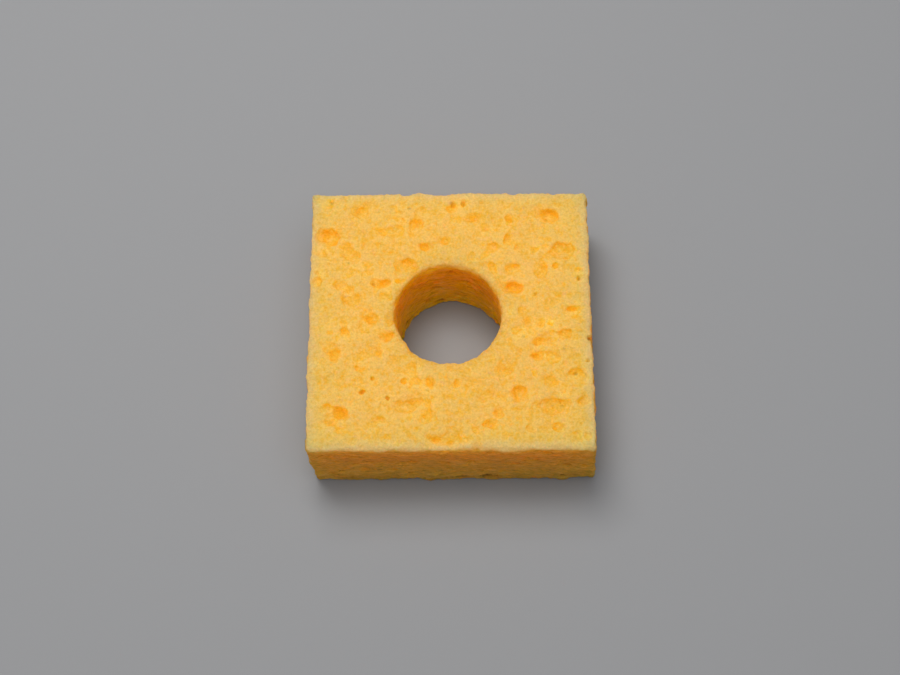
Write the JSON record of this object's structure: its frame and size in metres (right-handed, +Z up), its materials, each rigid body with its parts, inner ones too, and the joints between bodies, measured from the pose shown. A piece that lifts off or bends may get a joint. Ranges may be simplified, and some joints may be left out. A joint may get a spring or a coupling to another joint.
{
  "type": "soldering iron cleaning sponge",
  "caption": "Square slab of open-celled cellulose sponge with a round hole punched through its middle, for wiping a soldering iron's tip.",
  "frame": {"origin": "centre of the bounding box, at the height of the bottom face", "axes": "+Z up through the thickness, +X to the right along the wider side, +Y to the back"},
  "size_m": [0.056, 0.0542, 0.0185],
  "materials": {
    "cellulose_foam": "damp open-celled cellulose foam, yellow-orange, matt, deeper orange inside its pores and paler on its crests"
  },
  "bodies": {
    "root": {"cleaning_sponge": "cellulose_foam"}
  },
  "joints": []
}
